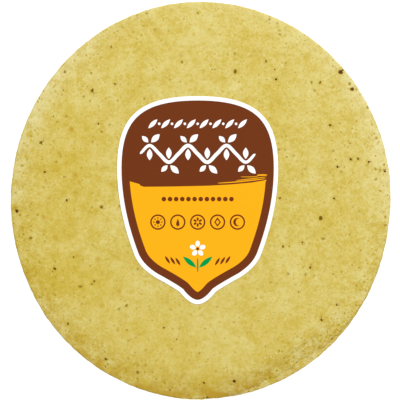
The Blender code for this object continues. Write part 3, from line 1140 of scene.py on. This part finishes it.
# Streaks of the dry brush above the yellow field's edge: knots and width
DRY_BRUSH = (
    (((7.6, 33.3), (14.0, 32.9), (20.0, 32.3), (26.0, 31.6)), 0.42),
    (((14.6, 32.3), (20.0, 31.7), (26.3, 30.9)), 0.32),
    (((16.4, 30.9), (20.5, 30.9), (23.2, 30.7)), 0.26),
    (((22.6, 30.3), (24.6, 30.2), (26.6, 30.2)), 0.6),
)

# The row of rounds, one for each tortilla, the ring-shaped marks, and the sprig. Its petals are
# given by how far out their middles lie, their length and their width
ROUNDS_DOWN = 39.4
ROUND_PITCH = 2.35
ROUND_RADIUS = 0.88
MARKS_DOWN = 48.2
MARK_PITCH = 7.6
MARK_RADIUS = 2.95
MARK_LINE = 0.58
BLOOM_DOWN = 58.4
PETALS = 5
PETAL_SIZE = (1.95, 2.3, 1.75)
BLOOM_EYE = 0.55
SIDE_LEAVES = (6.6, 8.6, 10.6)
SPRIG_LEAF = ((0.5, 65.6), (5.6, 61.4), 1.9)
STEM = ((0.0, 61.9), (0.0, 64.6), (0.0, 67.4))


def petals(across, down, number, reach, length, width):
    """A ring of petals, each an ellipse that points outwards."""
    turns = [tau * petal / number - pi / 2 for petal in range(number)]
    return [round_outline(across + reach * cos(turn), down + reach * sin(turn),
                          length / 2, width / 2, turn, 16) for turn in turns]


def rays(across, down, number, start, end, width):
    """Short straight rays round a middle."""
    turns = [tau * ray / number for ray in range(number)]
    return [leaf((across + start * cos(turn), down + start * sin(turn)),
                 (across + end * cos(turn), down + end * sin(turn)), width) for turn in turns]


def drop(across, down, size):
    """A falling drop."""
    angle = np.arange(24) * tau / 24
    narrowing = (1 - np.cos(angle)) / 2
    return list(zip(across + size * 0.62 * np.sin(angle) * narrowing, down - size * np.cos(angle)))


def moon(across, down, size):
    """A crescent, open to the right."""
    outer = np.linspace(radians(50), radians(310), 22)
    inner = np.linspace(radians(292), radians(68), 18)
    points = [(across + size * cos(a), down + size * sin(a)) for a in outer]
    return points + [(across + size * (0.36 + 0.75 * cos(a)), down + size * 0.86 * sin(a))
                     for a in inner]


def diamond(across, down, size):
    """A four-sided figure standing on its corner."""
    half_width = 0.72 * size
    return [(across, down - size), (across + half_width, down),
            (across, down + size), (across - half_width, down)]


def ring_marks():
    """Five rings, each with a plain figure."""
    figures = (
        lambda x, y: [round_outline(x, y, 0.8)] + rays(x, y, 8, 1.1, 2.0, 0.42),
        lambda x, y: [drop(x, y, 1.6)],
        lambda x, y: petals(x, y, 6, 1.15, 1.35, 0.8),
        lambda x, y: [diamond(x, y, 1.8), diamond(x, y, 1.0)],
        lambda x, y: [moon(x, y, 1.6)],
    )
    outlines = []
    for across, figure in zip(row_places(len(figures), MARK_PITCH), figures):
        outlines += [round_outline(across, MARKS_DOWN, MARK_RADIUS, sides=40),
                     round_outline(across, MARKS_DOWN, MARK_RADIUS - MARK_LINE, sides=40)]
        outlines += figure(across, MARKS_DOWN)
    return outlines


def vine():
    """A wavy stem with three leaves at each bend."""
    bends = 2 * VINE_WAVES
    swings = [0, -1, 0, 1] * VINE_WAVES + [0]
    stem = list(zip(row_places(2 * bends + 1, VINE_LENGTH / (2 * bends)), swings))
    outlines = [pen_stroke([(across, VINE_DOWN + VINE_SWING * swing) for across, swing in stem],
                           VINE_WIDTH, swell=0.15)]
    for across, swing in stem[1::2]:
        crest = VINE_DOWN + VINE_SWING * swing
        outlines += [leaf((across + start[0], crest + swing * start[1]),
                          (across + end[0], crest + swing * end[1]), width)
                     for start, end, width in BEND_LEAVES]
    return outlines


def leaf_border():
    """A row of slanting leaves with a dot between each two."""
    leaves = [leaf((across - LEAF_SLANT, BORDER_DOWN + LEAF_SLANT),
                   (across + LEAF_SLANT, BORDER_DOWN - LEAF_SLANT), LEAF_WIDTH)
              for across in row_places(BORDER_LEAVES, BORDER_PITCH)]
    return leaves + [round_outline(across, BORDER_DOWN, DOT_RADIUS)
                     for across in row_places(BORDER_LEAVES - 1, BORDER_PITCH)]


white_figures = vine() + leaf_border()
make_ink("white_vine", white_figures, WHITE_INK, 1)

streaks = [pen_stroke(knots, width, swell=0.3) for knots, width in DRY_BRUSH]
make_ink("dry_brush", streaks, YELLOW_INK, 1)

rounds = [round_outline(across, ROUNDS_DOWN, ROUND_RADIUS)
          for across in row_places(len(TORTILLAS), ROUND_PITCH)]
make_ink("twelve_rounds", rounds, BROWN_INK, 2)
make_ink("ring_marks", ring_marks(), BROWN_INK, 2)

side_leaves = both_sides([leaf((across, 65.9 - across / 6), (across + 1.9, 62.9 - across / 6), 0.95)
                          for across in SIDE_LEAVES])
bloom_eye = round_outline(0.0, BLOOM_DOWN, BLOOM_EYE, sides=16)
make_ink("side_leaves", side_leaves + [bloom_eye], BROWN_INK, 2)
make_ink("white_bloom", petals(0.0, BLOOM_DOWN, PETALS, *PETAL_SIZE), WHITE_INK, 2)
sprig = both_sides([leaf(*SPRIG_LEAF)])
make_ink("green_sprig", sprig + [pen_stroke(STEM, 0.6, swell=0.3)], GREEN_INK, 2)
print(len(white_figures), "white figures,", len(rounds), "rounds")
